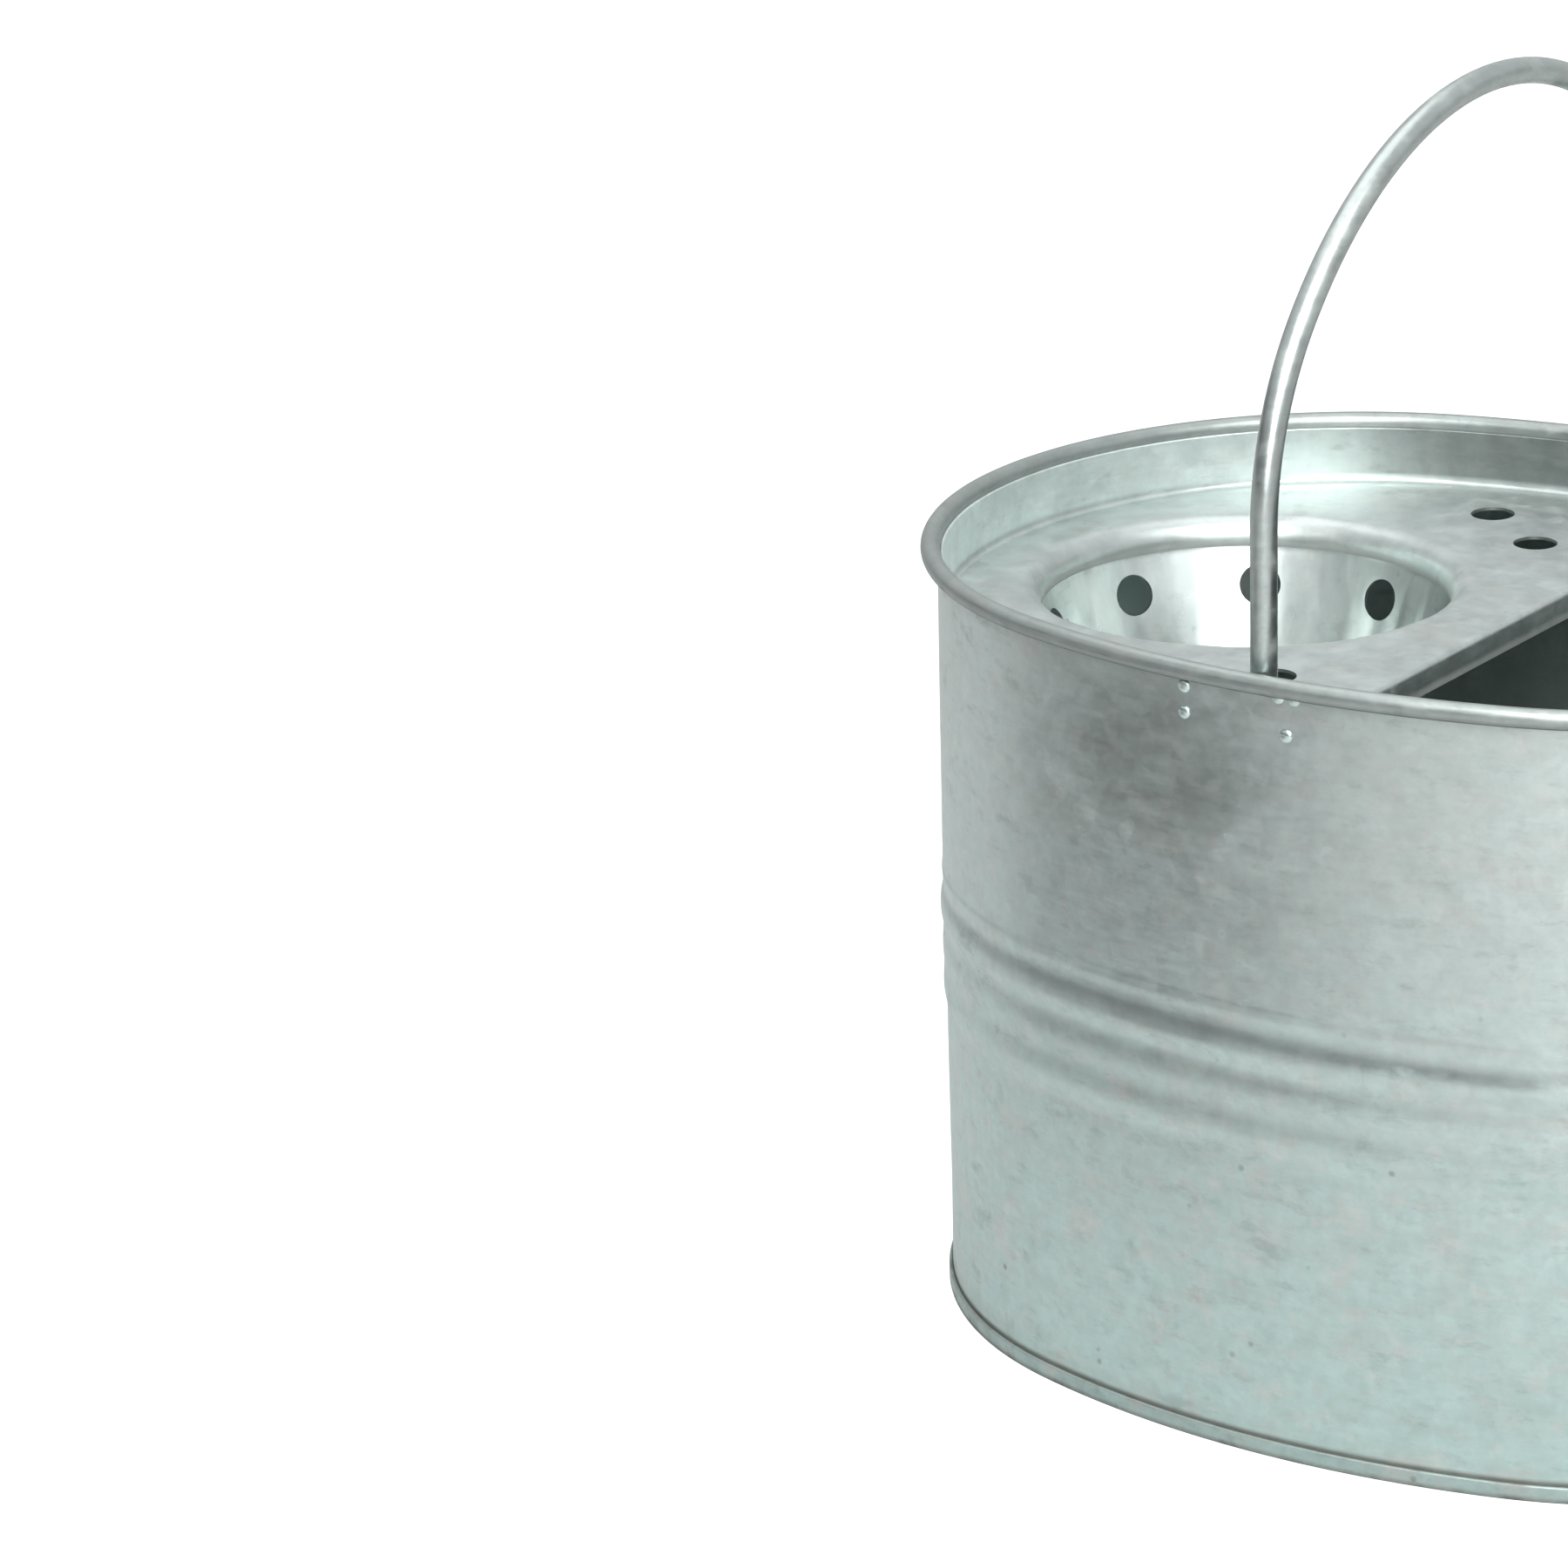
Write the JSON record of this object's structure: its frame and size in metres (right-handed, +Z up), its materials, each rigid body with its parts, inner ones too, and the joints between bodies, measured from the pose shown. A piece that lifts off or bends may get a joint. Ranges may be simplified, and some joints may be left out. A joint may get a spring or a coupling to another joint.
{
  "type": "mop bucket",
  "caption": "Oval galvanised steel bucket with a swinging bail and a perforated cone wringer fixed over one end of its mouth.",
  "frame": {"origin": "middle of the base, on the floor", "axes": "X along the mouth's length with the wringer at -X, Y across it, Z up"},
  "size_m": [0.356, 0.282, 0.3958],
  "materials": {
    "zinc_wall": "galvanised, mottled",
    "steel_wire": "drawn wire",
    "zinc_base": "galvanised, mottled",
    "zinc_plate": "galvanised, matt",
    "zinc_cone": "galvanised, drawn",
    "zinc_rivet": "galvanised",
    "zinc_ear": "galvanised",
    "zinc_rod": "galvanised, semi-bright"
  },
  "bodies": {
    "bucket": {"body_sheet": "zinc_wall", "rim_wire": "steel_wire", "base_pan": "zinc_base", "wringer_plate": "zinc_plate", "wringer_cone": "zinc_cone", "wringer_rivets": "zinc_rivet", "front_ear": "zinc_ear", "rear_ear": "zinc_ear", "front_ear_rivets": "zinc_rivet", "rear_ear_rivets": "zinc_rivet"},
    "bail": {"bail": "zinc_rod"}
  },
  "joints": [
    {"name": "bail_swing", "type": "hinge", "parent": "bucket", "child": "bail", "pos_m": [0, 0, 0.2317], "axis": [0, 1, 0], "range_deg": [-75, 75]}
  ]
}
